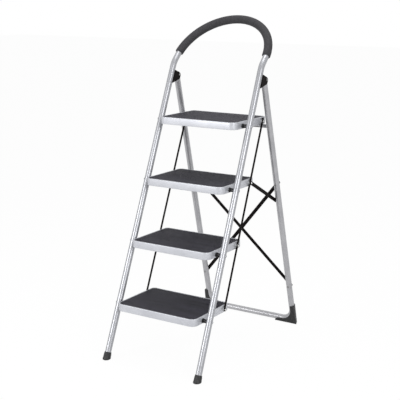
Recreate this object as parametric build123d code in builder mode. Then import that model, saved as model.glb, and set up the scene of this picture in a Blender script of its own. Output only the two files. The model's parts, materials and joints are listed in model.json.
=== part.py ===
from build123d import *
import os
from math import atan, atan2, cos, hypot, radians, sin, tan

# A folding step ladder with four treads, standing open on the floor. Millimetres.
# +X is the user's right when facing the ladder, +Y runs from front to back, +Z is up.
# The origin is at the middle of the footprint, on the floor.

# ---------------------------------------------------------------- driving dimensions
# Stance
front_lean = 22.5  # degrees from upright
rear_lean = 14.8
leg_spacing = 445.0  # front leg axes, at the floor
hinge_spacing = 427.0  # front and rear leg axes, at the hinge
rear_spacing = 444.0  # rear leg axes, at the floor
hinge_along = 1237.0  # up the front leg axis from the floor
hinge_setback = 39.5  # behind the front leg axis

# Tubes
front_tube_d = 25.4
front_tube_wall = 1.2
rear_tube_d = 25.4
rear_tube_wall = 1.2
rear_tube_over = 10.0  # rear tube above the hinge
rear_corner = 56.0  # bend radius of the rear tube's axis
floor_bar_height = 17.0  # axis of the rear tube's bottom run

# Hand loop at the top of the front tube
loop_above = 42.0  # where the axis bends back, along the leg from the hinge
loop_bend = 22.1  # degrees
loop_bend_radius = 80.0
loop_side = 38.6  # straight side between the bend and the loop's arc
grip_thickness = 4.9
grip_start = 4.0  # degrees of the loop's arc left bare at each end

# Treads
tread_count = 4
top_tread_drop = 208.7  # the top tread's pivot, down the front leg from the hinge
tread_pitch = 243.5  # in height
tread_front = 61.2  # ahead of the pivot
tread_rear = 197.8  # behind the pivot
tread_top = 18.2  # above the pivot
tread_drop = 11.5  # below the pivot
tread_front_corner = 28.0
tread_rear_corner = 18.0
tread_sheet = 1.5
rim_width = 5.0
hem_width = 6.0
mat_thickness = 3.0
mat_gap = 0.25

# Tread pivots
side_gap = 18.3  # between the front tube and a tread's side
bush_d = 18.0
pin_d = 6.0
pivot_head_d = 11.0
pivot_head = 2.0
inner_head_d = 10.0
inner_head = 1.6

# Link rods down both sides, which keep the treads parallel
link_back = 154.5  # link rivets behind the tread pivots
link_up = 2.0
link_rod_d = 8.0
link_gap = 0.8  # between rod and tread
eye_d = 15.6
eye_thickness = 3.0
eye_reach = 6.6  # where the round rod begins, from the middle of its eye
rod_tail = 15.0  # rod beyond the middle of its top eye
shoulder_d = 10.0
link_head_d = 9.0
link_head = 1.8

# Stay links, which tie the third tread to the rear legs
stay_width = 15.5
stay_thickness = 2.5
stay_tread = 2  # counted from 0 at the bottom
stay_side = 0.6  # between the rod's eye and the stay
stay_leg_gap = 0.6  # between the stay and the rear leg
stay_rivet_depth = 4.5  # from the leg's surface into the tube

# Hinge brackets
cheek = 2.2
bracket_back = 48.5  # rear edge, behind the front leg axis
bracket_front = 3.0
bracket_above = 9.0  # top edge, above the hinge
bracket_nose = 15.0  # bottom of the rear edge, below the hinge
bracket_toe = 48.0  # bottom of the front edge, below the hinge
bracket_web = 3.0
bracket_corner = 12.0
hinge_head_d = 10.5
hinge_head = 3.0
bracket_rivet_d = 3.2
bracket_rivet_head_d = 6.0
bracket_rivet_head = 1.2
bracket_rivet_back = 7.5
bracket_rivet_up = 1.0  # upper rivet, above the hinge
bracket_rivet_down = 32.0  # lower rivet, below the hinge
bracket_rivet_depth = 8.0

# Rear frame's bar and cross brace
support_d = 16.0
support_wall = 1.5
brace_width = 15.5
brace_thickness = 2.5
brace_drop = 467.9  # the brace's upper rivets, down the rear leg from the hinge
brace_low = 188.0  # height of its lower rivets
brace_end = 10.0  # bar beyond its rivet
joggle_flat = 36.0  # length of the raised middle of the second bar
joggle_run = 22.0  # length of each ramp
brace_head_d = 9.5
brace_head = 2.4
brace_face_head = 1.8
brace_centre_d = 5.0

# Feet
front_foot_d = 32.8
front_foot_top_d = 30.6
front_foot_collar_d = 28.4
front_foot_taper = 7.0  # where the foot starts to narrow, along the leg
front_foot_step = 23.0
front_foot_shoulder = 25.5
front_foot_top = 29.8
front_tube_start = 10.0  # lower end of the tube, along the leg
rear_foot_wall = 2.0
rear_foot_tip = 134.0  # inner end, from the middle of the ladder
rear_foot_tip_height = 9.0
rear_foot_corner = 243.0  # outer end at the floor
rear_foot_lip = 236.2  # outer end at the top
rear_foot_top = 91.0
rear_foot_wrap = 2.5  # how far the shell passes the tube's middle plane
rear_foot_slant = 21.0  # degrees, by which the outer face turns to the back
rear_foot_side = 1.5  # wall at the slanted face

# Fits and travel
running_fit = 0.06  # radial, between a pin and what turns on it
running_side = 0.3  # between faces that slide past each other
bracket_side = 0.4  # between the rear tube and its bracket
lean_room = 0.15  # under a head seated on the leaning stay
slack = 25.0  # how far a cutting bar or block passes the piece it cuts
tread_fold = 61.5  # degrees, open to folded
dome = 0.75  # share of a rivet head's height that is rounded

# ---------------------------------------------------------------- derived geometry
front_angle = radians(front_lean)
rear_angle = radians(rear_lean)
front_tube_r = front_tube_d / 2
rear_tube_r = rear_tube_d / 2
pin_r = pin_d / 2
running_r = pin_r + running_fit

front_reach = front_foot_d / 2 / cos(front_angle)
rear_foot_half = rear_tube_r + rear_foot_wall
rear_reach = rear_foot_half / cos(rear_angle)
hinge_rise = hinge_along * cos(front_angle) - hinge_setback * sin(front_angle)
hinge_run = hinge_along * sin(front_angle) + hinge_setback * cos(front_angle)
stance = hinge_run + hinge_rise * tan(rear_angle)
front_y = (front_reach - stance - rear_reach) / 2  # front leg axes, at the floor
hinge_y = front_y + hinge_run
hinge_z = hinge_rise
rear_y = front_y + stance  # rear leg axes, at the floor

front_taper = (leg_spacing - hinge_spacing) / 2 / hinge_along
rear_leg_length = hinge_z / cos(rear_angle)
rear_taper = (rear_spacing - hinge_spacing) / 2 / rear_leg_length


def front_x(along):
    """X of the right front leg's axis at a distance along it."""
    return leg_spacing / 2 - front_taper * along


def front_point(along, back=0.0, out=0.0):
    """A point by its distance along the right front leg, behind it and outside it."""
    y = front_y + along * sin(front_angle) + back * cos(front_angle)
    z = along * cos(front_angle) - back * sin(front_angle)
    return Vector(front_x(along) + out, y, z)


def rear_x(up):
    """X of the right rear leg's axis at a distance up it from the floor."""
    return rear_spacing / 2 - rear_taper * up


def rear_point(up, out=0.0, behind=0.0):
    """A point by its distance up the right rear leg, outside it and behind it."""
    y = rear_y - up * sin(rear_angle) + behind * cos(rear_angle)
    z = up * cos(rear_angle) + behind * sin(rear_angle)
    return Vector(rear_x(up) + out, y, z)


def pivot(tread):
    """Right-hand pivot of a tread, on the front leg's axis."""
    below_top = (tread_count - 1 - tread) * tread_pitch / cos(front_angle)
    return front_point(hinge_along - top_tread_drop - below_top)


def tread_side(tread):
    """X of the outer face of a tread's right side."""
    return pivot(tread).X - front_tube_r - side_gap


def link_pivot(tread, out=0.0):
    """Middle of a tread's right link rivet, on the tread's side face."""
    return Vector(
        tread_side(tread) + out, pivot(tread).Y + link_back, pivot(tread).Z + link_up
    )


def across(point, x):
    """The same point moved to another X."""
    return Vector(x, point.Y, point.Z)


def stay_foot():
    """Distance down the rear leg from the hinge at which one rigid stay fits both
    the open and the folded ladder."""
    reach = hypot(link_back, link_up)
    turned = atan2(link_up, link_back) + radians(tread_fold)
    centre = pivot(stay_tread)
    opened = link_pivot(stay_tread)
    open_y, open_z = opened.Y - hinge_y, opened.Z - hinge_z
    fold_y = centre.Y + reach * cos(turned) - hinge_y
    fold_z = centre.Z + reach * sin(turned) - hinge_z
    open_share = open_y * sin(rear_angle) - open_z * cos(rear_angle)
    fold_share = -fold_y * sin(front_angle) - fold_z * cos(front_angle)
    squares = open_y**2 + open_z**2 - fold_y**2 - fold_z**2
    return squares / 2 / (open_share - fold_share)


right = Vector(1, 0, 0)
inward = Vector(-1, 0, 0)
front_direction = (front_point(1) - front_point(0)).normalized()
rear_direction = (rear_point(1) - rear_point(0)).normalized()
behind_rear = Vector(0, cos(rear_angle), sin(rear_angle))

eye_inner = link_gap + link_rod_d - eye_thickness  # from the tread's side
eye_outer = link_gap + link_rod_d


# ---------------------------------------------------------------- building helpers
def mirrored(point):
    """The point's twin on the ladder's left side."""
    return Vector(-point.X, point.Y, point.Z)


def bar(start, end, radius):
    """A round bar between two points."""
    with BuildPart() as round_bar:
        with BuildSketch(Plane(origin=start, z_dir=end - start)):
            Circle(radius)
        extrude(amount=(end - start).length)
    return round_bar.part


def sleeve(start, end, radius, bore):
    """A round sleeve between two points."""
    with BuildPart() as tube:
        with BuildSketch(Plane(origin=start, z_dir=end - start)):
            Circle(radius)
            Circle(bore, mode=Mode.SUBTRACT)
        extrude(amount=(end - start).length)
    return tube.part


def head(seat, outward, diameter, height):
    """A rivet head with a rounded rim, seated on a face."""
    with BuildPart() as button:
        with BuildSketch(Plane(origin=seat, z_dir=outward)):
            Circle(diameter / 2)
        extrude(amount=height)
        top = button.faces().sort_by(Axis(seat, outward))[-1]
        fillet(top.edges(), radius=height * dome)
    return button.part


def twin(piece):
    """A right-hand piece copied to the left side."""
    with BuildPart() as copy:
        mirror(piece, about=Plane.YZ)
    return copy.part


def save(piece, name):
    """Labels a finished piece and writes its file."""
    piece.label = name
    export_step(piece, f"parts/{name}.step")


def save_pair(piece, name):
    """Writes a right-hand piece and its left-hand twin as two nodes."""
    save(twin(piece), f"{name}_left")
    save(piece, f"{name}_right")


# ---------------------------------------------------------------- tube centrelines
loop_lean = front_angle + radians(loop_bend)
loop_corner = front_point(hinge_along + loop_above)
side_slope = atan(front_taper)
loop_radius = (loop_corner.X - front_taper * loop_side) / cos(side_slope)
loop_centre_rise = loop_side - loop_radius * sin(side_slope)


def loop_point(turn):
    """A point on the loop's arc, by its angle up from the right end's level."""
    rise = loop_centre_rise + loop_radius * sin(turn)
    y = loop_corner.Y + rise * sin(loop_lean)
    z = loop_corner.Z + rise * cos(loop_lean)
    return Vector(loop_radius * cos(turn), y, z)


arc_start = loop_point(side_slope)
loop_top = loop_point(radians(90))


def front_tube(radius, bore):
    """The bent front tube, foot to foot through the hand loop."""
    foot = front_point(front_tube_start)
    with BuildPart() as tube:
        with BuildLine():
            FilletPolyline(foot, loop_corner, arc_start, radius=loop_bend_radius)
            ThreePointArc(arc_start, loop_top, mirrored(arc_start))
            FilletPolyline(
                mirrored(arc_start), mirrored(loop_corner), mirrored(foot), radius=loop_bend_radius
            )
        with BuildSketch(Plane(origin=foot, z_dir=front_direction)):
            Circle(radius)
            if bore:
                Circle(bore, mode=Mode.SUBTRACT)
        sweep()
    return tube.part


def rear_tube(radius, bore=0.0):
    """The bent rear tube: down one leg, across near the floor and up the other."""
    floor_run = floor_bar_height / cos(rear_angle)
    top = rear_leg_length + rear_tube_over
    start = rear_point(top)
    corner = rear_point(floor_run)
    with BuildPart() as tube:
        with BuildLine():
            FilletPolyline(
                start, corner, mirrored(corner), mirrored(start), radius=rear_corner
            )
        with BuildSketch(Plane(origin=start, z_dir=-rear_direction)):
            Circle(radius)
            if bore:
                Circle(bore, mode=Mode.SUBTRACT)
        sweep()
    return tube.part


def front_leg_core():
    """The right front tube as a solid bar, to shape what saddles onto it."""
    return bar(front_point(0), loop_corner, front_tube_r)


def rear_leg_core():
    """The right rear tube as a solid bar."""
    return bar(rear_point(0), rear_point(rear_leg_length + rear_tube_over), rear_tube_r)


# ---------------------------------------------------------------- front frame
def bracket_rivet_points():
    """Where the right bracket's rivets sit, in the middle plane of the leg."""
    return [
        front_point(hinge_along + up, back=bracket_rivet_back)
        for up in (bracket_rivet_up, -bracket_rivet_down)
    ]


bracket_half = rear_tube_r + bracket_side + cheek


def make_front_frame():
    with BuildPart() as front_frame:
        add(front_tube(front_tube_r, front_tube_r - front_tube_wall))
        for tread in range(tread_count):
            centre = pivot(tread)
            for point in (centre, mirrored(centre)):
                bore = bar(point - right * slack, point + right * slack, pin_r)
                add(bore, mode=Mode.SUBTRACT)
        for centre in bracket_rivet_points():
            hole = bar(centre, centre + right * bracket_half, bracket_rivet_d / 2)
            add(hole, mode=Mode.SUBTRACT)
            add(twin(hole), mode=Mode.SUBTRACT)
    save(front_frame.part, "front_frame")


def make_handle_grip():
    """Foam sleeve over the whole arc of the hand loop."""
    start = loop_point(side_slope + radians(grip_start))
    end = mirrored(start)
    with BuildPart() as handle_grip:
        with BuildLine() as path:
            ThreePointArc(start, loop_top, end)
        with BuildSketch(Plane(origin=start, z_dir=path.line % 0)):
            Circle(front_tube_r + grip_thickness)
            Circle(front_tube_r, mode=Mode.SUBTRACT)
        sweep()
    save(handle_grip.part, "handle_grip")


def make_front_feet():
    """Rubber cap over the tube's end, cut flat on the floor."""
    bottom = -slack
    facing = right.cross(front_direction)
    profile = Plane(origin=front_point(0), x_dir=front_direction.cross(facing), z_dir=facing)
    with BuildPart() as foot:
        with BuildSketch(profile):
            with BuildLine():
                Polyline(
                    (0, bottom),
                    (front_foot_d / 2, bottom),
                    (front_foot_d / 2, front_foot_taper),
                    (front_foot_top_d / 2, front_foot_step),
                    (front_foot_collar_d / 2, front_foot_shoulder),
                    (front_foot_collar_d / 2, front_foot_top),
                    (0, front_foot_top),
                    (0, bottom),
                )
            make_face()
        revolve(axis=Axis(front_point(0), front_direction))
        add(
            bar(front_point(front_tube_start), front_point(front_foot_top + slack), front_tube_r),
            mode=Mode.SUBTRACT,
        )
        split(bisect_by=Plane.XY, keep=Keep.TOP)
    save_pair(foot.part, "front_foot")


def make_hinge_brackets():
    """Steel channel saddled on the front tube, holding the rear tube between its cheeks."""
    centre = front_point(hinge_along)
    side = Plane(
        origin=across(front_point(0), centre.X),
        x_dir=(0, cos(front_angle), -sin(front_angle)),
        z_dir=right,
    )
    top = hinge_along + bracket_above
    slot_half = rear_tube_r + bracket_side
    slot_start = front_tube_r + bracket_web
    with BuildPart() as bracket:
        with BuildSketch(side) as outline:
            with BuildLine():
                Polyline(
                    (bracket_front, top),
                    (bracket_back, top),
                    (bracket_back, hinge_along - bracket_nose),
                    (bracket_front, hinge_along - bracket_toe),
                    (bracket_front, top),
                )
            make_face()
            fillet(outline.vertices().group_by(Axis.X)[-1], radius=bracket_corner)
        extrude(amount=bracket_half, both=True)
        with BuildSketch(side):
            with Locations((slot_start, hinge_along)):
                Rectangle(
                    bracket_back, (bracket_toe + slack) * 2, align=(Align.MIN, Align.CENTER)
                )
        extrude(amount=slot_half, both=True, mode=Mode.SUBTRACT)
        add(front_leg_core(), mode=Mode.SUBTRACT)
        hinge = front_point(hinge_along, back=hinge_setback)
        add(
            bar(hinge - right * slack, hinge + right * slack, pin_r),
            mode=Mode.SUBTRACT,
        )
        for point in bracket_rivet_points():
            add(
                bar(point, point + right * slack, bracket_rivet_d / 2),
                mode=Mode.SUBTRACT,
            )
    save_pair(bracket.part, "hinge_bracket")


def make_bracket_rivets():
    with BuildPart() as rivets:
        for point in bracket_rivet_points():
            seat = point + right * bracket_half
            seat = across(seat, front_x(hinge_along) + bracket_half)
            tail = seat + inward * bracket_rivet_depth
            for piece in (
                bar(tail, seat, bracket_rivet_d / 2),
                head(seat, right, bracket_rivet_head_d, bracket_rivet_head),
            ):
                add(piece)
                add(twin(piece))
    save(rivets.part, "bracket_rivets")


def make_hinge_pins():
    """Rivet through both bracket cheeks and the rear tube."""
    hinge = front_point(hinge_along, back=hinge_setback)
    outer = hinge + right * bracket_half
    inner = hinge + inward * bracket_half
    with BuildPart() as pin:
        add(bar(inner, outer, pin_r))
        add(head(outer, right, hinge_head_d, hinge_head))
        add(head(inner, inward, hinge_head_d, hinge_head))
    save_pair(pin.part, "hinge_pin")


def make_tread_pivots():
    """Per side: bushes between the front tube and the treads, and the rivets through both."""
    with BuildPart() as bushes:
        for tread in range(tread_count):
            centre = pivot(tread)
            start = across(centre, tread_side(tread) + running_side)
            add(sleeve(start, centre, bush_d / 2, pin_r))
        add(front_leg_core(), mode=Mode.SUBTRACT)
    save_pair(bushes.part, "pivot_bushes")
    with BuildPart() as rivets:
        for tread in range(tread_count):
            centre = pivot(tread)
            outer = centre + right * (front_tube_r + pivot_head_d * front_taper)
            inner = across(centre, tread_side(tread) - tread_sheet - running_side)
            add(bar(inner, outer, pin_r))
            add(head(outer, right, pivot_head_d, pivot_head))
            add(head(inner, inward, inner_head_d, inner_head))
    save_pair(rivets.part, "tread_pivot_rivets")


# ---------------------------------------------------------------- treads
def tread_sketch(tread, height, inset):
    """The tread's outline at a height above its pivot, drawn in from its edge."""
    width = (tread_side(tread) - inset) * 2
    depth = tread_front + tread_rear - inset * 2
    middle = pivot(tread).Y + (tread_rear - tread_front) / 2
    plane = Plane(origin=(0, middle, pivot(tread).Z + height))
    with BuildSketch(plane) as outline:
        Rectangle(width, depth)
        fillet(outline.vertices().group_by(Axis.Y)[0], radius=tread_front_corner - inset)
        fillet(outline.vertices().group_by(Axis.Y)[-1], radius=tread_rear_corner - inset)
    return outline.sketch


def make_tread(tread):
    """Pressed steel pan: a skirt with a rolled rim and hem around a recessed deck."""
    deck = tread_top - mat_thickness
    skirt = tread_top + tread_drop
    with BuildPart() as pan:
        extrude(tread_sketch(tread, -tread_drop, 0), amount=skirt)
        extrude(tread_sketch(tread, deck, rim_width), amount=skirt, mode=Mode.SUBTRACT)
        extrude(
            tread_sketch(tread, tread_sheet - tread_drop, tread_sheet),
            amount=deck - tread_sheet * 2 + tread_drop,
            mode=Mode.SUBTRACT,
        )
        extrude(
            tread_sketch(tread, -tread_drop - tread_sheet, hem_width + tread_sheet),
            amount=tread_sheet * 2 + running_side,
            mode=Mode.SUBTRACT,
        )
        for centre, radius in ((pivot(tread), running_r), (link_pivot(tread), pin_r)):
            middle = across(centre, tread_side(tread))
            hole = bar(middle - right * slack, middle + right * slack, radius)
            add(hole, mode=Mode.SUBTRACT)
            add(twin(hole), mode=Mode.SUBTRACT)
    save(pan.part, f"tread_{tread + 1}")


def make_tread_mat(tread):
    """Ribbed rubber mat, held inside the rim."""
    sketch = tread_sketch(tread, tread_top - mat_thickness, rim_width + mat_gap)
    with BuildPart() as mat:
        extrude(sketch, amount=mat_thickness)
    save(mat.part, f"tread_mat_{tread + 1}")


def make_link_rivets(tread):
    """Shouldered rivets in the tread's sides, which the rods turn on.

    Where the stay lies against the rod, the rivet's outer end is the stay's pin.
    """
    side = link_pivot(tread)
    inner = side + inward * tread_sheet
    outer = link_pivot(tread, eye_outer if tread == stay_tread else eye_outer + running_side)
    pieces = [
        head(inner, inward, inner_head_d, inner_head),
        bar(inner, outer, pin_r),
        bar(side, side + right * (eye_inner - running_side), shoulder_d / 2),
    ]
    if tread != stay_tread:
        pieces.append(head(outer, right, link_head_d, link_head))
    with BuildPart() as rivets:
        for piece in pieces:
            add(piece)
            add(twin(piece))
    save(rivets.part, f"link_rivets_{tread + 1}")


# ---------------------------------------------------------------- linkage
def make_link_rods():
    """Round rod with a flattened eye at each tread."""
    with BuildPart() as rod:
        stations = [link_pivot(tread, link_gap + link_rod_d / 2) for tread in range(tread_count)]
        for low, high in zip(stations, stations[1:]):
            step = (high - low).normalized() * eye_reach
            add(bar(low + step, high - step, link_rod_d / 2))
        along = step.normalized()
        add(bar(stations[-1] + step, stations[-1] + along * rod_tail, link_rod_d / 2))
        for tread in range(tread_count):
            add(
                bar(
                    link_pivot(tread, eye_inner),
                    link_pivot(tread, eye_outer),
                    eye_d / 2,
                )
            )
        for tread in range(tread_count):
            add(
                bar(link_pivot(tread), link_pivot(tread, slack), running_r),
                mode=Mode.SUBTRACT,
            )
    save_pair(rod.part, "link_rod")


stay_top = link_pivot(stay_tread, eye_outer + stay_side + stay_thickness / 2)
stay_leg = rear_point(rear_leg_length - stay_foot())
stay_anchor = stay_leg + inward * (rear_tube_r + stay_leg_gap + stay_thickness / 2)
stay_run = stay_anchor - stay_top


def make_stay_links():
    """Flat bar from the third tread's link rivet to the inner side of the rear leg."""
    along = stay_run.normalized()
    plane = Plane(
        origin=(stay_top + stay_anchor) / 2,
        x_dir=along,
        z_dir=right - along * along.X,
    )
    with BuildPart() as stay:
        with BuildSketch(plane):
            SlotCenterToCenter(stay_run.length, stay_width)
        extrude(amount=stay_thickness / 2, both=True)
        for point, radius in ((stay_top, pin_r), (stay_anchor, running_r)):
            bore = bar(point - right * stay_width, point + right * stay_width, radius)
            add(bore, mode=Mode.SUBTRACT)
    save_pair(stay.part, "stay_link")


def make_stay_pins():
    """Outer end of the third tread's link rivet, which holds the stay."""
    inner = stay_top + inward * stay_thickness / 2
    outer = stay_top + right * (stay_thickness / 2 + lean_room)
    with BuildPart() as pin:
        add(bar(inner, outer, pin_r))
        add(head(outer, right, link_head_d, link_head))
    save_pair(pin.part, "stay_pin")


def make_stay_rivets():
    """Rivet in the rear leg's inner wall, which the stay turns on."""
    inner = stay_anchor + inward * (stay_thickness / 2 + running_side + lean_room)
    outer = stay_leg + inward * (rear_tube_r - stay_rivet_depth)
    with BuildPart() as rivet:
        add(bar(inner, outer, pin_r))
        add(head(inner, inward, link_head_d, link_head))
    save_pair(rivet.part, "stay_rivet")


# ---------------------------------------------------------------- rear frame
brace_up_high = rear_leg_length - brace_drop
brace_up_low = brace_low / cos(rear_angle)
support_z = pivot(tread_count - 1).Z - tread_drop - running_side - support_d / 2
support_up = support_z / cos(rear_angle)


def make_rear_frame():
    with BuildPart() as rear_frame:
        add(rear_tube(rear_tube_r, rear_tube_r - rear_tube_wall))
        hinge = rear_point(rear_leg_length)
        bores = [
            bar(hinge - right * slack, hinge + right * slack, running_r),
            bar(stay_anchor, stay_leg, pin_r),
        ]
        for up in (brace_up_high, brace_up_low):
            bores.append(
                bar(rear_point(up, behind=-slack), rear_point(up, behind=slack), pin_r)
            )
        for bore in bores:
            add(bore, mode=Mode.SUBTRACT)
            add(twin(bore), mode=Mode.SUBTRACT)
    save(rear_frame.part, "rear_frame")


def make_support_bar():
    """Cross tube under the top tread, shaped to the rear legs at both ends."""
    end = rear_point(support_up)
    with BuildPart() as support_bar:
        add(sleeve(mirrored(end), end, support_d / 2, support_d / 2 - support_wall))
        add(rear_leg_core(), mode=Mode.SUBTRACT)
        add(twin(rear_leg_core()), mode=Mode.SUBTRACT)
    save(support_bar.part, "support_bar")


def brace_points():
    """Right-hand low rivet and left-hand high rivet, on the rear of the legs."""
    low = rear_point(brace_up_low, behind=rear_tube_r)
    high = mirrored(rear_point(brace_up_high, behind=rear_tube_r))
    return low, high


def brace_centre():
    """Where the two bars cross, on the faces that touch the legs."""
    low, high = brace_points()
    share = low.X / (low.X - high.X)
    return low + (high - low) * share


def make_brace_bars():
    """Two flat bars on the backs of the rear legs; the second is joggled over the first."""
    low, high = brace_points()
    length = (high - low).length
    flat = Plane(origin=(low + high) / 2, x_dir=high - low, z_dir=behind_rear)
    offset = (brace_centre() - (low + high) / 2).length
    centre = offset if (brace_centre() - low).length > length / 2 else -offset
    with BuildPart() as bar_a:
        with BuildSketch(flat):
            SlotOverall(length + brace_end * 2, brace_width)
            with Locations((-length / 2, 0), (length / 2, 0)):
                Circle(pin_r, mode=Mode.SUBTRACT)
            with Locations((centre, 0)):
                Circle(brace_centre_d / 2, mode=Mode.SUBTRACT)
        extrude(amount=brace_thickness)
    save(bar_a.part, "brace_bar_a")

    edge = Plane(
        origin=flat.origin, x_dir=flat.x_dir, z_dir=flat.x_dir.cross(behind_rear)
    )
    half = length / 2 + brace_end
    start = centre - joggle_flat / 2
    finish = centre + joggle_flat / 2
    with BuildPart() as bar_b:
        with BuildSketch(edge):
            with BuildLine():
                Polyline(
                    (-half, 0),
                    (start - joggle_run, 0),
                    (start, brace_thickness),
                    (finish, brace_thickness),
                    (finish + joggle_run, 0),
                    (half, 0),
                    (half, brace_thickness),
                    (finish + joggle_run, brace_thickness),
                    (finish, brace_thickness * 2),
                    (start, brace_thickness * 2),
                    (start - joggle_run, brace_thickness),
                    (-half, brace_thickness),
                    (-half, 0),
                )
            make_face()
        extrude(amount=brace_width / 2, both=True)
        with BuildSketch(flat):
            SlotOverall(length + brace_end * 2, brace_width)
            with Locations((-length / 2, 0), (length / 2, 0)):
                Circle(pin_r, mode=Mode.SUBTRACT)
            with Locations((centre, 0)):
                Circle(brace_centre_d / 2, mode=Mode.SUBTRACT)
        extrude(amount=brace_thickness * 2, mode=Mode.INTERSECT)
    save(twin(bar_b.part), "brace_bar_b")


def make_brace_rivets():
    """Rivets through the rear legs at the ends of the brace bars."""
    with BuildPart() as rivets:
        for up in (brace_up_high, brace_up_low):
            face = rear_point(up, behind=-rear_tube_r)
            back = rear_point(up, behind=rear_tube_r + brace_thickness)
            for piece in (
                bar(face, back, pin_r),
                head(face, behind_rear * -1, brace_head_d, brace_face_head),
                head(back, behind_rear, brace_head_d, brace_head),
            ):
                add(piece)
                add(twin(piece))
    save(rivets.part, "brace_rivets")
    face = brace_centre()
    back = face + behind_rear * brace_thickness * 2
    with BuildPart() as centre_rivet:
        add(bar(face, back, brace_centre_d / 2))
        add(head(face, behind_rear * -1, brace_head_d, brace_face_head))
        add(head(back, behind_rear, brace_head_d, brace_head))
    save(centre_rivet.part, "brace_centre_rivet")


def make_rear_feet():
    """Moulded shell around the outer half of the rear tube's corner, flat on the floor."""
    floor_run = floor_bar_height / cos(rear_angle)
    edge = floor_run + rear_foot_wrap
    lip = rear_foot_top / cos(rear_angle)
    leg_top = rear_point(lip).X - rear_foot_wrap
    corner = rear_point(floor_run).X - rear_foot_wrap
    tip = rear_foot_tip
    tip_up = rear_foot_tip_height / cos(rear_angle)
    ramp = tip + rear_foot_half
    plane = Plane(origin=(0, rear_y, 0), x_dir=right, z_dir=behind_rear * -1)
    slant = radians(rear_foot_slant)
    outward = right * cos(slant) + behind_rear * sin(slant)
    side = Plane(
        origin=rear_point(0) + outward * (rear_tube_r + rear_foot_side),
        z_dir=outward,
    )
    with BuildPart() as foot:
        with BuildSketch(plane):
            with BuildLine():
                FilletPolyline(
                    (ramp, edge),
                    (corner, edge),
                    (leg_top, lip),
                    radius=rear_corner - rear_foot_wrap,
                )
                Polyline(
                    (leg_top, lip),
                    (rear_foot_lip, lip),
                    (rear_foot_corner, 0),
                    (rear_foot_corner, -rear_foot_half),
                    (tip, -rear_foot_half),
                    (tip, tip_up),
                    (ramp, edge),
                )
            make_face()
        extrude(amount=rear_foot_half, both=True)
        split(bisect_by=side, keep=Keep.BOTTOM)
        add(rear_tube(rear_tube_r), mode=Mode.SUBTRACT)
        split(bisect_by=Plane.XY, keep=Keep.TOP)
    save_pair(foot.part, "rear_foot")


# ---------------------------------------------------------------- assembly
os.makedirs("parts", exist_ok=True)
make_front_frame()
make_handle_grip()
make_front_feet()
make_hinge_brackets()
make_bracket_rivets()
make_hinge_pins()
make_tread_pivots()
for number in range(tread_count):
    make_tread(number)
    make_tread_mat(number)
    make_link_rivets(number)
make_link_rods()
make_stay_links()
make_stay_pins()
make_stay_rivets()
make_rear_frame()
make_support_bar()
make_brace_bars()
make_brace_rivets()
make_rear_feet()
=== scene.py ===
"""A folding four-tread step ladder with a hand loop, on a pale studio floor.

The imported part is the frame, and every piece takes its place from it. Sizes are in metres.
"""

import json
import math

import bmesh
import bpy
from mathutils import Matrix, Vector

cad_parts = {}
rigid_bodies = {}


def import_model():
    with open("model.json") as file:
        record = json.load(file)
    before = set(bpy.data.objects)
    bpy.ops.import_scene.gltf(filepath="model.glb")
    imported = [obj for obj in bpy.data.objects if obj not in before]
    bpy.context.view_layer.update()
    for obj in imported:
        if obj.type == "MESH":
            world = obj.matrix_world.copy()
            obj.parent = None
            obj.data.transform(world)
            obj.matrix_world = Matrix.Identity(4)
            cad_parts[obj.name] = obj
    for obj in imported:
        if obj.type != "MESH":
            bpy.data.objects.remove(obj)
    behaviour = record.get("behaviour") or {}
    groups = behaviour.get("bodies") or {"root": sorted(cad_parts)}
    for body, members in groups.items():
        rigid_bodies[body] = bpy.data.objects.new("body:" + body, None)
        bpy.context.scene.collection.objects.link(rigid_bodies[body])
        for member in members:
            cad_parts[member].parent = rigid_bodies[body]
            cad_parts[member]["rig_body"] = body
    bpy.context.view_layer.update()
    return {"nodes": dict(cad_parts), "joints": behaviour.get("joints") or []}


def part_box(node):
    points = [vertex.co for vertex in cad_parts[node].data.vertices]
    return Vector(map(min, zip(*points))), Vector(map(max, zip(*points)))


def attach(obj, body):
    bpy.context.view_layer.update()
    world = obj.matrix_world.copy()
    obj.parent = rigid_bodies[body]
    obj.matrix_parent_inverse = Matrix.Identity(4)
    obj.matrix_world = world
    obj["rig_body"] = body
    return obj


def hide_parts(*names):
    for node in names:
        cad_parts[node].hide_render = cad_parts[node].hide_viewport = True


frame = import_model()
nodes = frame["nodes"]
joints = {joint["name"]: joint for joint in frame["joints"]}

# ---------------------------------------------------------------- sizes
TREADS = 4
SIDES = {"left": -1, "right": 1}

# Front legs
FRONT_LEAN = math.radians(22.5)
FRONT_TUBE = 0.0127  # radius
LEG_LENGTH = 1.237
LEG_NARROWING = 0.009  # how far a leg comes in over its length
LEG_TAPER = LEG_NARROWING / LEG_LENGTH

# Hand loop
LOOP_ALONG = 1.279  # where the tube bends back, along the leg
LOOP_BEND = math.radians(22.1)
LOOP_SIDE = 0.0386  # from the bend to the start of the arc

# Foam sleeve on the hand loop
GRIP_START = math.radians(4.0)  # from the start of the arc
GRIP_RADIUS = 0.0176
GRIP_BORE = FRONT_TUBE + 0.00005
GRIP_STEPS = 150
GRIP_LIP = 0.0035  # length of a soft end
# Rings of a soft end: (share of the lip, how far inside the full radius)
GRIP_END = (
    (0.0, GRIP_RADIUS - GRIP_BORE),
    (0.0, 0.0026),
    (0.12, 0.0019),
    (0.3, 0.0015),
    (0.6, 0.0012),
)

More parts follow.
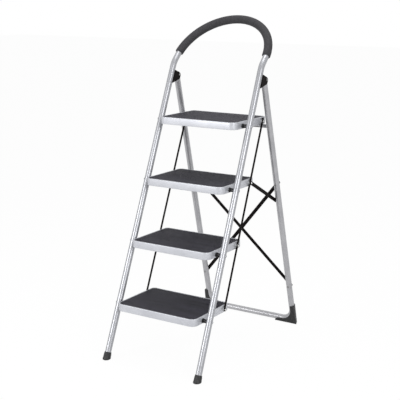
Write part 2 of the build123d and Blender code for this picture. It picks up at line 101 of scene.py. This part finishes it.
# Tread pans
FRONT_CORNER = 0.028
REAR_CORNER = 0.018
SMALLEST_CORNER = 0.002
CORNER_STEPS = 14
SHEET = 0.0015
RIM = 0.005
RIM_ROLL = 0.0022  # radius of the rim's outer edge
RIM_EDGE = 0.0009  # radius of the rim's inner edge
DECK_STRIP = 0.004  # half depth of the flat strip that closes the deck
BEND_INSIDE = 0.0012  # fillet inside a bend of the sheet
BEND_MIDDLE = 0.0003
BEND_RISE = 0.001
HEM = 0.006
HEM_BEND = 0.0016  # radius
HEM_SETBACK = 0.0004  # of the hem's round edge

# Tread mats
MAT_THICKNESS = 0.003
MAT_GAP = 0.00025
MAT_BORDER = 0.0055
BORDER_LEVEL = 0.62  # share of the ribs' height
BORDER_SLOPE = 0.0014  # width of the border's inner slope
BORDER_GAP = 0.0003  # between the border and the first groove
RIB_PITCH = 0.0062
RIB_HEIGHT = 0.0011
RIB_RUNOUT = 0.0012
# One rib: (share of the pitch, share of the height)
RIB_PROFILE = (
    (0.10, 0.0),
    (0.20, 0.35),
    (0.26, 0.85),
    (0.34, 1.0),
    (0.66, 1.0),
    (0.74, 0.85),
    (0.80, 0.35),
    (0.90, 0.0),
)
# Rounded outer edge: (distance from the side, share of the ribs' height)
MAT_EDGE = ((0.0, 0.0), (0.0006, 0.5), (0.0015, BORDER_LEVEL))
# The same from a side to the middle, where None takes the height of the row
MAT_COLUMNS = (
    *MAT_EDGE,
    (MAT_BORDER - BORDER_SLOPE, BORDER_LEVEL),
    (MAT_BORDER, None),
    (MAT_BORDER + RIB_RUNOUT, None),
)
SMALLEST_SQUARE = 1e-10  # keeps rounding errors from taking a root of less than zero

# Bushes between the treads and the front tube
BUSH_BORE = 0.0031
BUSH_FLANGE = 0.0096
BUSH_FLANGE_DEPTH = 0.0042
BUSH_NECK = 0.0078
BUSH_GAP = 0.0003
BUSH_EDGE = 0.0010
BUSH_EDGE_MIDDLE = 0.0003
BUSH_FILLET = 0.0016
BUSH_FILLET_MIDDLE = 0.0006

# Front feet: radii, and heights along the leg
FOOT = 0.0164
FOOT_SOLE = 0.0120
FOOT_TOP = 0.0153
FOOT_COLLAR = 0.0142
FOOT_STEP = 0.023
FOOT_SHOULDER = 0.0255
FOOT_HEIGHT = 0.0298
FOOT_FLUTES = 14
FLUTE_DEPTH = 0.0005
FLUTE_STEPS = 8
# (radius, height, how level the ring lies, share of the flutes' depth)
FOOT_PROFILE = (
    (FOOT_SOLE, 0.0, 1.0, 0),
    (FOOT - 0.0022, 0.0, 1.0, 0),
    (FOOT - 0.0012, 0.0003, 1.0, 0),
    (FOOT - 0.0004, 0.0011, 1.0, 0),
    (FOOT, 0.0024, 1.0, 0),
    (FOOT, 0.0058, 0.8, 0),
    (FOOT - 0.0002, 0.0072, 0.6, 0),
    (FOOT - 0.0007, 0.0088, 0.5, 1),
    (FOOT_TOP + 0.0002, 0.0150, 0.2, 1),
    (FOOT_TOP, FOOT_STEP - 0.0014, 0.0, 1),
    (FOOT_TOP - 0.0001, FOOT_STEP, 0.0, 0),
    (FOOT_TOP - 0.0005, FOOT_STEP + 0.0007, 0.0, 0),
    (FOOT_COLLAR + 0.0002, FOOT_SHOULDER - 0.0003, 0.0, 0),
    (FOOT_COLLAR, FOOT_SHOULDER + 0.0006, 0.0, 0),
    (FOOT_COLLAR, FOOT_HEIGHT - 0.0012, 0.0, 0),
    (FOOT_COLLAR - 0.0003, FOOT_HEIGHT - 0.0004, 0.0, 0),
    (FOOT_COLLAR - 0.0008, FOOT_HEIGHT, 0.0, 0),
    (FRONT_TUBE, FOOT_HEIGHT, 0.0, 0),
    (FRONT_TUBE, FOOT_SHOULDER, 0.0, 0),
)

# Rounded edges of the brackets, bars and rear feet
BRACKET_EDGE = 0.0008
BAR_EDGE = 0.0005
REAR_FOOT_EDGE = 0.0012
EDGE_SEGMENTS = 3
EDGE_ANGLE = math.radians(30)  # edges sharper than this are rounded
FLAT_ANGLE = math.radians(0.6)  # faces within this are joined first

# Meshes
ROUND_STEPS = 48
WELD = 1e-7
CAD_WELD = 1e-6

# Surfaces
MOTTLE_SPAN = (0.35, 0.65)  # part of the noise over which the colour changes
ROUGHNESS_NOISE = 0.6  # size of the roughness's noise beside the colour's

# Studio
WHITE_FLOOR = 0.96  # share of plain white in what the camera sees of the floor
FLOOR_SHADE = (0.92, 0.92, 0.92, 1)
FLOOR_SIZE = 40.0
AMBIENT = 0.52
WHITE = (1, 1, 1, 1)
LAMP_TARGET = (0, 0, 0.7)
# (name, place, size, power in watts)
LAMPS = (
    ("key", (-1.4, -3.1, 1.65), (0.9, 1.9), 54),
    ("fill", (2.9, -1.9, 1.85), (1.1, 2.2), 52),
    ("top", (0.2, 0.3, 3.4), (1.6, 1.6), 34),
)
CAMERA_PLACE = (2.0937, -3.2727, 1.4906)
CAMERA_TARGET = (0.0798, -0.1619, 0.6618)
CAMERA_LENS = 85.4  # mm
CAMERA_SENSOR = 36.0  # mm
CAMERA_REACH = 100.0


# ---------------------------------------------------------------- places, from the frame
def joint_point(name):
    """Where a joint turns."""
    return Vector(joints[name]["pos_m"])


foot_low, foot_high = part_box("front_foot_right")
first_pivot = joint_point("tread_1_pivot")
LEG_X = (foot_low.x + foot_high.x) / 2
LEG_Y = first_pivot.y - first_pivot.z * math.tan(FRONT_LEAN)


def leg_point(along, side=1):
    """A point on a front leg's axis."""
    x = side * (LEG_X - LEG_TAPER * along)
    return Vector((x, LEG_Y + along * math.sin(FRONT_LEAN), along * math.cos(FRONT_LEAN)))


# ---------------------------------------------------------------- mesh helpers
def mesh_from(name, points, faces):
    """A mesh from points and faces, with its normals pointing out."""
    mesh = bpy.data.meshes.new(name)
    mesh.from_pydata(points, [], faces)
    shape = bmesh.new()
    shape.from_mesh(mesh)
    bmesh.ops.remove_doubles(shape, verts=shape.verts, dist=WELD)
    bmesh.ops.recalc_face_normals(shape, faces=shape.faces)
    shape.to_mesh(mesh)
    shape.free()
    return mesh


def skin_faces(rings, count, first=0, closed=False):
    """Quads between rings of equally many points, and from the last to the first if closed."""
    faces = []
    for ring in range(rings if closed else rings - 1):
        here = first + ring * count
        there = first + (ring + 1) % rings * count
        for step in range(count):
            after = (step + 1) % count
            faces.append((here + step, here + after, there + after, there + step))
    return faces


def rings_mesh(name, rings, close_ends=True):
    """A skin over rings of equally many points, with flat ends."""
    count = len(rings[0])
    points = [point for ring in rings for point in ring]
    faces = skin_faces(len(rings), count)
    if close_ends:
        faces.append(tuple(range(count)))
        faces.append(tuple(range(len(points) - count, len(points))))
    return mesh_from(name, points, faces)


def circle(centre, across, up, radius):
    """Points of a circle in the plane of two directions."""
    points = []
    for step in range(ROUND_STEPS):
        angle = 2 * math.pi * step / ROUND_STEPS
        points.append(
            centre + across * radius * math.cos(angle) + up * radius * math.sin(angle)
        )
    return points


def arc_profile(centre_inset, centre_height, radius, start, stop, steps):
    """Profile points (inset, height) on an arc, angles in degrees from straight up."""
    points = []
    for step in range(steps + 1):
        angle = math.radians(start + (stop - start) * step / steps)
        inset = centre_inset + radius * math.sin(angle)
        points.append((inset, centre_height + radius * math.cos(angle)))
    return points


def add_piece(name, mesh, material, body, node, sharp_angle):
    """Puts a mesh in the scene in place of a CAD node, dressed and on its body.

    Edges sharper than the angle, in degrees, stay sharp.
    """
    piece = bpy.data.objects.new(name, mesh)
    bpy.context.scene.collection.objects.link(piece)
    mesh.materials.append(material)
    for face in mesh.polygons:
        face.use_smooth = True
    mesh.set_sharp_from_angle(angle=math.radians(sharp_angle))
    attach(piece, body)
    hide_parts(node)
    return piece


def add_rounded_copy(node, material, width):
    """A copy of a CAD node with its sharp edges rounded, which stands for the node."""
    mesh = nodes[node].data.copy()
    mesh.materials.clear()
    shape = bmesh.new()
    shape.from_mesh(mesh)
    bmesh.ops.remove_doubles(shape, verts=shape.verts, dist=CAD_WELD)
    bmesh.ops.dissolve_limit(
        shape, angle_limit=FLAT_ANGLE, verts=shape.verts, edges=shape.edges
    )
    shape.to_mesh(mesh)
    shape.free()
    body = nodes[node]["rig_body"]
    piece = add_piece(f"{node}_finish", mesh, material, body, node, sharp_angle=35)
    bevel = piece.modifiers.new("edges", "BEVEL")
    bevel.width = width
    bevel.segments = EDGE_SEGMENTS
    bevel.limit_method = "ANGLE"
    bevel.angle_limit = EDGE_ANGLE


# ---------------------------------------------------------------- materials
def node_adder(tree):
    """A function that adds a node to a tree and sets its sockets or its properties."""

    def add(kind, **settings):
        node = tree.nodes.new(kind)
        for key, value in settings.items():
            if key in node.inputs:
                node.inputs[key].default_value = value
            else:
                setattr(node, key, value)
        return node

    return add


def add_range(add, low, high):
    """A node that turns 0 to 1 into a range of its own."""
    spread = add("ShaderNodeMapRange")
    spread.inputs["To Min"].default_value = low
    spread.inputs["To Max"].default_value = high
    return spread


def mottle_colour(tree, add, coordinates, shader, dark, light, size, stretch):
    """A base colour that wanders between two close shades."""
    noise = add("ShaderNodeTexNoise", Scale=1 / size, Detail=3.0, Roughness=0.55)
    mapping = add("ShaderNodeMapping", Scale=stretch)
    ramp = add("ShaderNodeValToRGB")
    stops = ramp.color_ramp.elements
    for stop, position, colour in zip(stops, MOTTLE_SPAN, (dark, light)):
        stop.position = position
        stop.color = (*colour, 1)
    tree.links.new(coordinates.outputs["Object"], mapping.inputs["Vector"])
    tree.links.new(mapping.outputs["Vector"], noise.inputs["Vector"])
    tree.links.new(noise.outputs["Fac"], ramp.inputs["Fac"])
    tree.links.new(ramp.outputs["Color"], shader.inputs["Base Color"])


def vary_roughness(tree, add, coordinates, shader, low, high, size):
    """Roughness that wanders between two values."""
    noise = add("ShaderNodeTexNoise", Scale=1 / size, Detail=4.0)
    spread = add_range(add, low, high)
    tree.links.new(coordinates.outputs["Object"], noise.inputs["Vector"])
    tree.links.new(noise.outputs["Fac"], spread.inputs["Value"])
    tree.links.new(spread.outputs["Result"], shader.inputs["Roughness"])


def raise_relief(tree, add, coordinates, shader, size, height, strength):
    """Fine relief on the shader's normal."""
    noise = add("ShaderNodeTexNoise", Scale=1 / size, Detail=2.0)
    bump = add("ShaderNodeBump", Strength=strength, Distance=height)
    tree.links.new(coordinates.outputs["Object"], noise.inputs["Vector"])
    tree.links.new(noise.outputs["Fac"], bump.inputs["Height"])
    tree.links.new(bump.outputs["Normal"], shader.inputs["Normal"])


def finish(name, dark, light, mottle, roughness, metallic, gloss, relief, stretch=(1, 1, 1)):
    """A surface with wandering colour and roughness and a fine relief.

    The mottle is the size of the colour's noise, and the relief is (size, height, strength).
    """
    material = bpy.data.materials.new(name)
    material.use_nodes = True
    tree = material.node_tree
    shader = tree.nodes["Principled BSDF"]
    shader.inputs["Metallic"].default_value = metallic
    shader.inputs["Specular IOR Level"].default_value = gloss
    add = node_adder(tree)
    coordinates = add("ShaderNodeTexCoord")
    mottle_colour(tree, add, coordinates, shader, dark, light, mottle, stretch)
    vary_roughness(tree, add, coordinates, shader, *roughness, mottle * ROUGHNESS_NOISE)
    raise_relief(tree, add, coordinates, shader, *relief)
    return material


silver = finish(
    "silver_paint",
    dark=(0.33, 0.335, 0.355),
    light=(0.37, 0.375, 0.395),
    mottle=0.08,
    roughness=(0.30, 0.35),
    metallic=0.7,
    gloss=0.5,
    relief=(0.0008, 0.00001, 0.1),
)
# The rear frame has the same silver paint as the front frame; this copy's shades are set to how
# bright the rear tubes look in their light, painted light and shade.
rear_silver_painted_light = finish(
    "silver_paint_rear_painted_light",
    dark=(0.365, 0.365, 0.38),
    light=(0.415, 0.415, 0.43),
    mottle=0.05,
    roughness=(0.28, 0.34),
    metallic=0.65,
    gloss=0.5,
    relief=(0.0008, 0.00001, 0.1),
)
pan_silver = finish(
    "pan_paint",
    dark=(0.46, 0.47, 0.505),
    light=(0.51, 0.52, 0.555),
    mottle=0.08,
    roughness=(0.36, 0.42),
    metallic=0.4,
    gloss=0.5,
    relief=(0.0008, 0.00001, 0.1),
)
# The rubber's own dark blue-violet colour, with far-apart shades in noise stretched along the
# ribs: streaks of painted rib shade.
mat_rubber_painted_rib_shade = finish(
    "mat_rubber_painted_rib_shade",
    dark=(0.002, 0.0018, 0.006),
    light=(0.017, 0.0155, 0.026),
    mottle=0.008,
    roughness=(0.42, 0.56),
    metallic=0.0,
    gloss=0.3,
    relief=(0.0006, 0.0001, 0.4),
    stretch=(0.04, 1, 1),
)
foam = finish(
    "grip_foam",
    dark=(0.032, 0.031, 0.034),
    light=(0.044, 0.043, 0.047),
    mottle=0.008,
    roughness=(0.62, 0.80),
    metallic=0.0,
    gloss=0.2,
    relief=(0.0011, 0.0004, 0.7),
)
foot_rubber = finish(
    "foot_rubber",
    dark=(0.018, 0.018, 0.019),
    light=(0.028, 0.028, 0.029),
    mottle=0.01,
    roughness=(0.38, 0.55),
    metallic=0.0,
    gloss=0.25,
    relief=(0.0007, 0.0001, 0.4),
)
black_coat = finish(
    "black_coat",
    dark=(0.004, 0.003, 0.003),
    light=(0.008, 0.006, 0.006),
    mottle=0.02,
    roughness=(0.30, 0.42),
    metallic=0.0,
    gloss=0.03,
    relief=(0.0008, 0.00005, 0.3),
)
bush_plastic = finish(
    "bush_plastic",
    dark=(0.003, 0.003, 0.004),
    light=(0.005, 0.005, 0.007),
    mottle=0.01,
    roughness=(0.10, 0.14),
    metallic=0.0,
    gloss=0.2,
    relief=(0.0009, 0.00002, 0.1),
)
bright_steel = finish(
    "bright_steel",
    dark=(0.62, 0.62, 0.61),
    light=(0.74, 0.74, 0.72),
    mottle=0.004,
    roughness=(0.18, 0.30),
    metallic=1.0,
    gloss=0.5,
    relief=(0.0005, 0.00003, 0.2),
)
dull_steel = finish(
    "dull_steel",
    dark=(0.20, 0.20, 0.20),
    light=(0.28, 0.28, 0.28),
    mottle=0.004,
    roughness=(0.36, 0.46),
    metallic=0.8,
    gloss=0.5,
    relief=(0.0005, 0.00003, 0.2),
)


# ---------------------------------------------------------------- treads
def rounded_outline(centre, half_width, half_depth, inset, height):
    """A tread's outline, some way in from its edge, with as many points for every inset."""
    points = []
    for turn in range(4):
        corner = REAR_CORNER if turn < 2 else FRONT_CORNER
        radius = max(corner - inset, SMALLEST_CORNER)
        corner_x = (half_width - inset - radius) * (1 if turn in (0, 3) else -1)
        corner_y = (half_depth - inset - radius) * (1 if turn in (0, 1) else -1)
        for step in range(CORNER_STEPS + 1):
            angle = math.pi / 2 * (turn + step / CORNER_STEPS)
            x = centre.x + corner_x + radius * math.cos(angle)
            y = centre.y + corner_y + radius * math.sin(angle)
            points.append(Vector((x, y, height)))
    return points


def add_pan(number):
    """Pressed pan with a rolled rim, a turned hem and a recessed deck."""
    node = f"tread_{number}"
    low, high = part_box(node)
    centre = (low + high) / 2
    half_width = (high.x - low.x) / 2
    half_depth = (high.y - low.y) / 2
    deck = high.z - MAT_THICKNESS
    under_deck = deck - SHEET
    over_hem = low.z + SHEET
    hem_edge = HEM + SHEET - HEM_SETBACK
    profile = (
        (half_depth - DECK_STRIP, deck),
        (RIM + BEND_INSIDE, deck),
        (RIM + BEND_MIDDLE, deck + BEND_MIDDLE),
        (RIM, deck + BEND_RISE),
        *arc_profile(RIM - RIM_EDGE, high.z - RIM_EDGE, RIM_EDGE, 90, 0, steps=4),
        *arc_profile(RIM_ROLL, high.z - RIM_ROLL, RIM_ROLL, 0, -90, steps=6),
        *arc_profile(HEM_BEND, low.z + HEM_BEND, HEM_BEND, -90, -180, steps=5),
        (hem_edge, low.z),
        *arc_profile(hem_edge, low.z + SHEET / 2, SHEET / 2, 180, 0, steps=6),
        (SHEET + BEND_INSIDE, over_hem),
        (SHEET, over_hem + BEND_INSIDE),
        (SHEET, under_deck - BEND_INSIDE),
        (SHEET + BEND_INSIDE, under_deck),
        (half_depth - DECK_STRIP, under_deck),
    )
    rings = [
        rounded_outline(centre, half_width, half_depth, inset, height)
        for inset, height in profile
    ]
    mesh = rings_mesh(f"pan_{number}", rings)
    body = f"step_{number}"
    add_piece(f"pan_{number}", mesh, pan_silver, body, node, sharp_angle=40)


def mat_rows(half_depth):
    """Rows of a mat from front to back: (depth, share of the ribs' height)."""
    count = int((half_depth - MAT_BORDER) * 2 / RIB_PITCH)
    start = -count * RIB_PITCH / 2
    border = [(-half_depth + inset, rise) for inset, rise in MAT_EDGE]
    border.append((start - BORDER_GAP, BORDER_LEVEL))
    rows = list(border)
    for rib in range(count):
        left = start + rib * RIB_PITCH
        rows += [(left + RIB_PITCH * share, rise) for share, rise in RIB_PROFILE]
    return rows + [(-depth, rise) for depth, rise in reversed(border)]


def mat_half_width(depth, half_width, half_depth):
    """Half the width of a mat at a depth, less at its rounded corners."""
    corner = REAR_CORNER if depth > 0 else FRONT_CORNER
    radius = corner - RIM - MAT_GAP
    over = max(0.0, abs(depth) - (half_depth - radius))
    return half_width - radius + math.sqrt(max(radius**2 - over**2, SMALLEST_SQUARE))


def add_mat(number):
    """Rubber mat with ribs that run from side to side inside a plain border."""
    node = f"tread_mat_{number}"
    low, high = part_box(node)
    centre = (low + high) / 2
    half_width = (high.x - low.x) / 2
    half_depth = (high.y - low.y) / 2
    base = high.z - RIB_HEIGHT
    columns = [(-1, inset, rise) for inset, rise in MAT_COLUMNS]
    columns += [(0, 0.0, None)]
    columns += [(1, inset, rise) for inset, rise in reversed(MAT_COLUMNS)]
    rows = mat_rows(half_depth)
    tops = []
    floors = []
    for depth, row_rise in rows:
        width = mat_half_width(depth, half_width, half_depth)
        in_border = abs(depth) > half_depth - MAT_BORDER
        y = centre.y + depth
        for side, inset, column_rise in columns:
            if column_rise is None:
                rise = row_rise
            elif in_border:
                rise = min(column_rise, row_rise)
            else:
                rise = column_rise
            x = centre.x + side * (width - inset)
            tops.append(Vector((x, y, base + RIB_HEIGHT * rise)))
        floors.append(Vector((centre.x - width, y, low.z)))
        floors.append(Vector((centre.x + width, y, low.z)))
    wide = len(columns)
    floor = len(tops)
    faces = []
    for row in range(len(rows) - 1):
        top, next_top = row * wide, (row + 1) * wide
        left, next_left = floor + row * 2, floor + row * 2 + 2
        faces += [
            (top + column, top + column + 1, next_top + column + 1, next_top + column)
            for column in range(wide - 1)
        ]
        faces.append((left, next_left, next_left + 1, left + 1))
        faces.append((left, top, next_top, next_left))
        faces.append((next_left + 1, next_top + wide - 1, next_top - 1, left + 1))
    last_top = (len(rows) - 1) * wide
    last_left = floor + (len(rows) - 1) * 2
    faces.append((floor, floor + 1, *range(wide - 1, -1, -1)))
    faces.append((last_left + 1, last_left, *range(last_top, last_top + wide)))
    mesh = mesh_from(f"mat_{number}", tops + floors, faces)
    body = f"step_{number}"
    add_piece(f"mat_{number}", mesh, mat_rubber_painted_rib_shade, body, node, sharp_angle=40)


# ---------------------------------------------------------------- hand grip
def add_grip():
    """Foam sleeve around the loop's arc, with soft ends."""
    lean = FRONT_LEAN + LOOP_BEND
    corner = leg_point(LOOP_ALONG)
    slope = math.atan(LEG_TAPER)
    radius = (corner.x - LEG_TAPER * LOOP_SIDE) / math.cos(slope)
    back = Vector((0, math.sin(lean), math.cos(lean)))
    normal = Vector((0, -math.cos(lean), math.sin(lean)))
    across = Vector((1, 0, 0))
    centre = Vector((0, corner.y, corner.z)) + back * (LOOP_SIDE - radius * math.sin(slope))
    start = slope + GRIP_START
    stop = math.pi - start
    lip = GRIP_LIP / radius

    def ring(angle, size):
        out = across * math.cos(angle) + back * math.sin(angle)
        return circle(centre + out * radius, out, normal, size)

    rings = [ring(start + share * lip, GRIP_RADIUS - inside) for share, inside in GRIP_END]
    for step in range(GRIP_STEPS + 1):
        angle = start + lip + (stop - start - 2 * lip) * step / GRIP_STEPS
        rings.append(ring(angle, GRIP_RADIUS))
    for share, inside in reversed(GRIP_END):
        rings.append(ring(stop - share * lip, GRIP_RADIUS - inside))
    mesh = rings_mesh("grip", rings, close_ends=False)
    add_piece("grip", mesh, foam, "front", "handle_grip", sharp_angle=50)


# ---------------------------------------------------------------- front feet
def add_front_foot(side_name, side):
    """Rubber cap: flat sole, rounded bottom edge, shallow flutes and a narrower collar."""
    origin = leg_point(0.0, side)
    axis = (leg_point(1.0, side) - origin).normalized()
    across = Vector((0, 1, 0)).cross(axis).normalized()
    back = axis.cross(across).normalized()
    tilt = math.tan(FRONT_LEAN)
    steps = FOOT_FLUTES * FLUTE_STEPS
    rings = []
    for radius, height, level, fluted in FOOT_PROFILE:
        ring = []
        for step in range(steps):
            angle = 2 * math.pi * step / steps
            along = height + level * radius * math.sin(angle) * tilt
            groove = max(0.0, math.cos(FOOT_FLUTES * angle)) * FLUTE_DEPTH * fluted
            out = across * math.cos(angle) + back * math.sin(angle)
            ring.append(origin + axis * along + out * (radius - groove))
        rings.append(ring)
    for point in rings[0] + rings[1]:
        point.z = max(point.z, 0.0)
    name = f"foot_cap_{side_name}"
    node = f"front_foot_{side_name}"
    mesh = rings_mesh(name, rings)
    add_piece(name, mesh, foot_rubber, "front", node, sharp_angle=40)


# ---------------------------------------------------------------- bushes
def bush_rings(number, side):
    """Rings of one turned bush, from the tread out to the front tube and back to its bore."""
    pivot = joint_point(f"tread_{number}_pivot")
    tube_x = leg_point(pivot.z / math.cos(FRONT_LEAN)).x
    _, tread_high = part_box(f"tread_{number}")
    start = tread_high.x + BUSH_GAP
    rim = start + BUSH_FLANGE_DEPTH
    # (distance from the middle, radius), where None lies on the tube
    profile = (
        (start, BUSH_BORE),
        (start, BUSH_FLANGE - BUSH_EDGE),
        (start + BUSH_EDGE_MIDDLE, BUSH_FLANGE - BUSH_EDGE_MIDDLE),
        (start + BUSH_EDGE, BUSH_FLANGE),
        (rim - BUSH_EDGE, BUSH_FLANGE),
        (rim - BUSH_EDGE_MIDDLE, BUSH_FLANGE - BUSH_EDGE_MIDDLE),
        (rim, BUSH_FLANGE - BUSH_EDGE),
        (rim + BUSH_FILLET_MIDDLE, BUSH_NECK + BUSH_EDGE_MIDDLE),
        (rim + BUSH_FILLET, BUSH_NECK),
        (None, BUSH_NECK),
        (None, BUSH_BORE),
    )
    rings = []
    for distance, radius in profile:
        ring = []
        for step in range(ROUND_STEPS):
            angle = 2 * math.pi * step / ROUND_STEPS
            y, z = radius * math.cos(angle), radius * math.sin(angle)
            if distance is None:
                off_axis = y * math.cos(FRONT_LEAN) - z * math.sin(FRONT_LEAN)
                x = tube_x - math.sqrt(FRONT_TUBE**2 - off_axis**2)
            else:
                x = distance
            ring.append(Vector((side * x, pivot.y + y, pivot.z + z)))
        rings.append(ring)
    return rings


def add_bushes(side_name, side):
    """Turned bushes with a flange at the tread and a saddle on the front tube."""
    points = []
    faces = []
    for number in range(1, TREADS + 1):
        rings = bush_rings(number, side)
        faces += skin_faces(len(rings), ROUND_STEPS, first=len(points), closed=True)
        points += [point for ring in rings for point in ring]
    name = f"bushes_{side_name}"
    node = f"pivot_bushes_{side_name}"
    mesh = mesh_from(name, points, faces)
    add_piece(name, mesh, bush_plastic, "front", node, sharp_angle=50)


# ---------------------------------------------------------------- parts that keep the CAD shape
def dress(material, *names):
    """Gives CAD nodes a material."""
    for name in names:
        mesh = nodes[name].data
        mesh.materials.clear()
        mesh.materials.append(material)


def dress_cad_nodes():
    """Tubes, rods, pins and rivets, whose CAD shape stays."""
    dress(silver, "front_frame", "tread_pivot_rivets_left", "tread_pivot_rivets_right")
    dress(rear_silver_painted_light, "rear_frame", "support_bar")
    dress(dull_steel, "brace_rivets", "brace_centre_rivet", "hinge_pin_left", "hinge_pin_right")
    dress(bright_steel, *(f"link_rivets_{number}" for number in range(1, TREADS + 1)))
    dress(bright_steel, "stay_pin_left", "stay_pin_right")
    dress(bright_steel, "stay_rivet_left", "stay_rivet_right")
    dress(black_coat, "bracket_rivets", "link_rod_left", "link_rod_right")


def add_rounded_parts():
    """Brackets, stays, rear feet and brace bars, with their edges rounded."""
    for side_name in SIDES:
        add_rounded_copy(f"hinge_bracket_{side_name}", black_coat, BRACKET_EDGE)
        add_rounded_copy(f"stay_link_{side_name}", black_coat, BAR_EDGE)
        add_rounded_copy(f"rear_foot_{side_name}", foot_rubber, REAR_FOOT_EDGE)
    for bar in ("a", "b"):
        add_rounded_copy(f"brace_bar_{bar}", black_coat, BAR_EDGE)


# ---------------------------------------------------------------- studio
def add_seen_rays(tree, add):
    """1 for rays from the camera and for mirror and glass rays, 0 for others."""
    path = add("ShaderNodeLightPath")
    first = add("ShaderNodeMath", operation="MAXIMUM")
    second = add("ShaderNodeMath", operation="MAXIMUM")
    tree.links.new(path.outputs["Is Camera Ray"], first.inputs[0])
    tree.links.new(path.outputs["Is Glossy Ray"], first.inputs[1])
    tree.links.new(first.outputs[0], second.inputs[0])
    tree.links.new(path.outputs["Is Transmission Ray"], second.inputs[1])
    return second.outputs[0]


def add_floor():
    """Pale floor that shows almost plain white to the camera and in reflections."""
    half = FLOOR_SIZE / 2
    corners = [(-half, -half, 0), (half, -half, 0), (half, half, 0), (-half, half, 0)]
    mesh = bpy.data.meshes.new("floor")
    mesh.from_pydata(corners, [], [(0, 1, 2, 3)])
    floor = bpy.data.objects.new("floor", mesh)
    bpy.context.scene.collection.objects.link(floor)
    material = bpy.data.materials.new("floor")
    material.use_nodes = True
    tree = material.node_tree
    tree.nodes.clear()
    add = node_adder(tree)
    diffuse = add("ShaderNodeBsdfDiffuse", Color=FLOOR_SHADE)
    glow = add("ShaderNodeEmission", Strength=1.0)
    share = add("ShaderNodeMath", operation="MULTIPLY")
    share.inputs[1].default_value = WHITE_FLOOR
    mix = add("ShaderNodeMixShader")
    out = add("ShaderNodeOutputMaterial")
    tree.links.new(add_seen_rays(tree, add), share.inputs[0])
    tree.links.new(share.outputs[0], mix.inputs["Fac"])
    tree.links.new(diffuse.outputs["BSDF"], mix.inputs[1])
    tree.links.new(glow.outputs["Emission"], mix.inputs[2])
    tree.links.new(mix.outputs["Shader"], out.inputs["Surface"])
    mesh.materials.append(material)


def add_world():
    """White surroundings that light the object less brightly than they look."""
    world = bpy.data.worlds.new("studio")
    bpy.context.scene.world = world
    world.use_nodes = True
    tree = world.node_tree
    tree.nodes.clear()
    add = node_adder(tree)
    strength = add_range(add, AMBIENT, 1.0)
    background = add("ShaderNodeBackground", Color=WHITE)
    out = add("ShaderNodeOutputWorld")
    tree.links.new(add_seen_rays(tree, add), strength.inputs["Value"])
    tree.links.new(strength.outputs["Result"], background.inputs["Strength"])
    tree.links.new(background.outputs["Background"], out.inputs["Surface"])


def set_up(item, place, target):
    """Puts a lamp or camera at a place, looking at a target."""
    aim = Vector(target) - Vector(place)
    item.location = place
    item.rotation_euler = aim.to_track_quat("-Z", "Y").to_euler()
    bpy.context.scene.collection.objects.link(item)


def add_lamps():
    """Soft boxes at the left, at the right and above."""
    for name, place, size, power in LAMPS:
        data = bpy.data.lights.new(name, "AREA")
        data.shape = "RECTANGLE"
        data.size, data.size_y = size
        data.energy = power
        set_up(bpy.data.objects.new(name, data), place, LAMP_TARGET)


def add_camera():
    """The camera, with a view transform that leaves colours as they are."""
    data = bpy.data.cameras.new("camera")
    data.lens = CAMERA_LENS
    data.sensor_width = CAMERA_SENSOR
    data.clip_end = CAMERA_REACH
    camera = bpy.data.objects.new("camera", data)
    set_up(camera, CAMERA_PLACE, CAMERA_TARGET)
    bpy.context.scene.camera = camera
    bpy.context.scene.view_settings.view_transform = "Standard"


# ---------------------------------------------------------------- the scene
add_camera()
add_world()
add_lamps()
add_floor()
dress_cad_nodes()
for tread in range(1, TREADS + 1):
    add_pan(tread)
    add_mat(tread)
add_grip()
for side_name, side in SIDES.items():
    add_front_foot(side_name, side)
    add_bushes(side_name, side)
add_rounded_parts()
